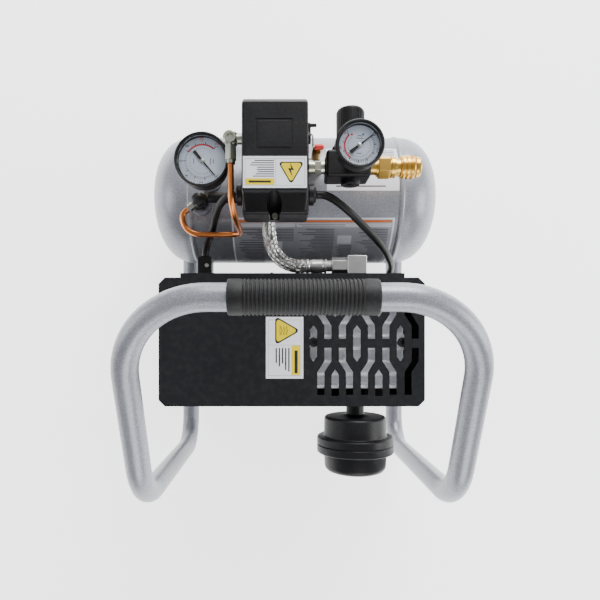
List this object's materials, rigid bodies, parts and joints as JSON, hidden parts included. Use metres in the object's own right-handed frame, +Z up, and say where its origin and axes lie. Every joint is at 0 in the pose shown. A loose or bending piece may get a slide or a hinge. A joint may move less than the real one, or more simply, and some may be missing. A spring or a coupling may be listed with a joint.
{
  "type": "air compressor",
  "caption": "Small oil-free air compressor: bent-tube carry frame, front tank, covered pump with slotted grille, pressure switch, regulator, gauges and quick coupler.",
  "frame": {"origin": "on the floor, in the middle of the object's box", "axes": "+Z up; -Y is the tank side; +Y is the side with the air filter and the frame's legs; +X is the side of the tank gauge"},
  "size_m": [0.3394, 0.402, 0.38],
  "materials": {
    "silver_paint": "metallic silver hammer-smooth paint",
    "black_sheet": "satin black powder coat",
    "black_plastic": "moulded black, satin",
    "grip_foam": "ribbed soft grip",
    "rubber": "black rubber",
    "cast_aluminium": "die cast, unpainted",
    "steel": "turned, plated",
    "zinc": "yellow zinc plated",
    "brass": "turned brass",
    "copper": "drawn copper tube",
    "braid": "stainless wire braid",
    "dial_white": "printed dial",
    "clear_lens": "clear lens",
    "red_plastic": "red moulded",
    "lamination": "stacked laminations with windings",
    "filter_foam": "pleated felt"
  },
  "bodies": {
    "chassis": {"frame_tube": "silver_paint", "handle_grip": "grip_foam", "foot_front_left": "rubber", "foot_front_right": "rubber", "foot_rear_left": "rubber", "foot_rear_right": "rubber", "tank_shell": "silver_paint", "tank_head_left": "silver_paint", "tank_head_right": "silver_paint", "tank_saddle_left": "silver_paint", "tank_saddle_right": "silver_paint", "drain_valve_body": "brass", "pump_tray": "silver_paint", "pump_cover": "black_sheet", "crankcase": "cast_aluminium", "pump_mount": "rubber", "motor_stator": "lamination", "cylinder": "cast_aluminium", "cylinder_head": "cast_aluminium", "capacitor": "black_plastic", "filter_base": "black_plastic", "filter_cap": "black_plastic", "filter_element": "filter_foam", "discharge_elbow": "steel", "hose_nut": "steel", "discharge_hose": "braid", "discharge_pipe": "black_sheet", "check_valve_body": "steel", "unloader_valve": "zinc", "unloader_tube": "copper", "switch_riser": "zinc", "switch_base": "black_plastic", "switch_cover": "black_plastic", "motor_gland": "black_plastic", "supply_gland": "black_plastic", "motor_lead": "rubber", "supply_lead": "rubber", "cover_grommet": "rubber", "lead_clamp": "black_plastic", "regulator_body": "black_plastic", "regulator_lock_ring": "red_plastic", "outlet_nipple": "zinc", "coupler_body": "brass", "safety_valve_body": "brass", "tank_gauge_case": "black_plastic", "tank_gauge_dial": "dial_white", "tank_gauge_lens": "clear_lens", "regulator_gauge_case": "black_plastic", "regulator_gauge_dial": "dial_white", "regulator_gauge_lens": "clear_lens"},
    "rotor": {"rotor_shaft": "steel", "cooling_fan": "black_plastic"},
    "piston_rod": {"connecting_rod": "cast_aluminium"},
    "knob": {"regulator_knob": "black_plastic"},
    "sleeve": {"coupler_sleeve": "brass"},
    "tank_pointer": {"tank_gauge_needle": "black_plastic"},
    "outlet_pointer": {"regulator_gauge_needle": "black_plastic"},
    "lever": {"switch_lever": "black_plastic"},
    "relief_pull": {"safety_valve_pull": "red_plastic"},
    "drain_key": {"drain_valve_key": "brass"}
  },
  "joints": [
    {"name": "motor_spin", "type": "hinge", "parent": "chassis", "child": "rotor", "pos_m": [0, 0.0464, 0.1], "axis": [1, 0, 0], "continuous": true},
    {"name": "crank_swing", "type": "hinge", "parent": "rotor", "child": "piston_rod", "pos_m": [-0.0624, 0.0464, 0.105], "axis": [1, 0, 0], "continuous": true},
    {"name": "regulator_turn", "type": "hinge", "parent": "chassis", "child": "knob", "pos_m": [-0.0524, -0.1548, 0.24], "axis": [0, -1, 0], "range_deg": [-450, 450]},
    {"name": "sleeve_pull", "type": "slide", "parent": "chassis", "child": "sleeve", "axis": [1, 0, 0], "range_m": [0, 0.004], "stiffness_N_per_m": 1500, "springref_m": -0.001},
    {"name": "tank_pointer_turn", "type": "hinge", "parent": "chassis", "child": "tank_pointer", "pos_m": [0.0927, -0.1294, 0.2553], "axis": [0, 0, 1], "range_deg": [-225, 45]},
    {"name": "outlet_pointer_turn", "type": "hinge", "parent": "chassis", "child": "outlet_pointer", "pos_m": [-0.0524, -0.1286, 0.2993], "axis": [0, 0, 1], "range_deg": [-90, 180]},
    {"name": "lever_throw", "type": "hinge", "parent": "chassis", "child": "lever", "pos_m": [-0.0083, -0.146, 0.27], "axis": [1, 0, 0], "range_deg": [0, 50]},
    {"name": "relief_lift", "type": "slide", "parent": "chassis", "child": "relief_pull", "axis": [0, 0, 1], "range_m": [0, 0.003], "stiffness_N_per_m": 2000, "springref_m": -0.0005},
    {"name": "drain_turn", "type": "hinge", "parent": "chassis", "child": "drain_key", "pos_m": [0, -0.126, 0.0165], "axis": [0, 0, 1], "range_deg": [0, 270]}
  ],
  "couplings": [
    {"joint": "crank_swing", "follows": "motor_spin", "ratio": -1}
  ]
}
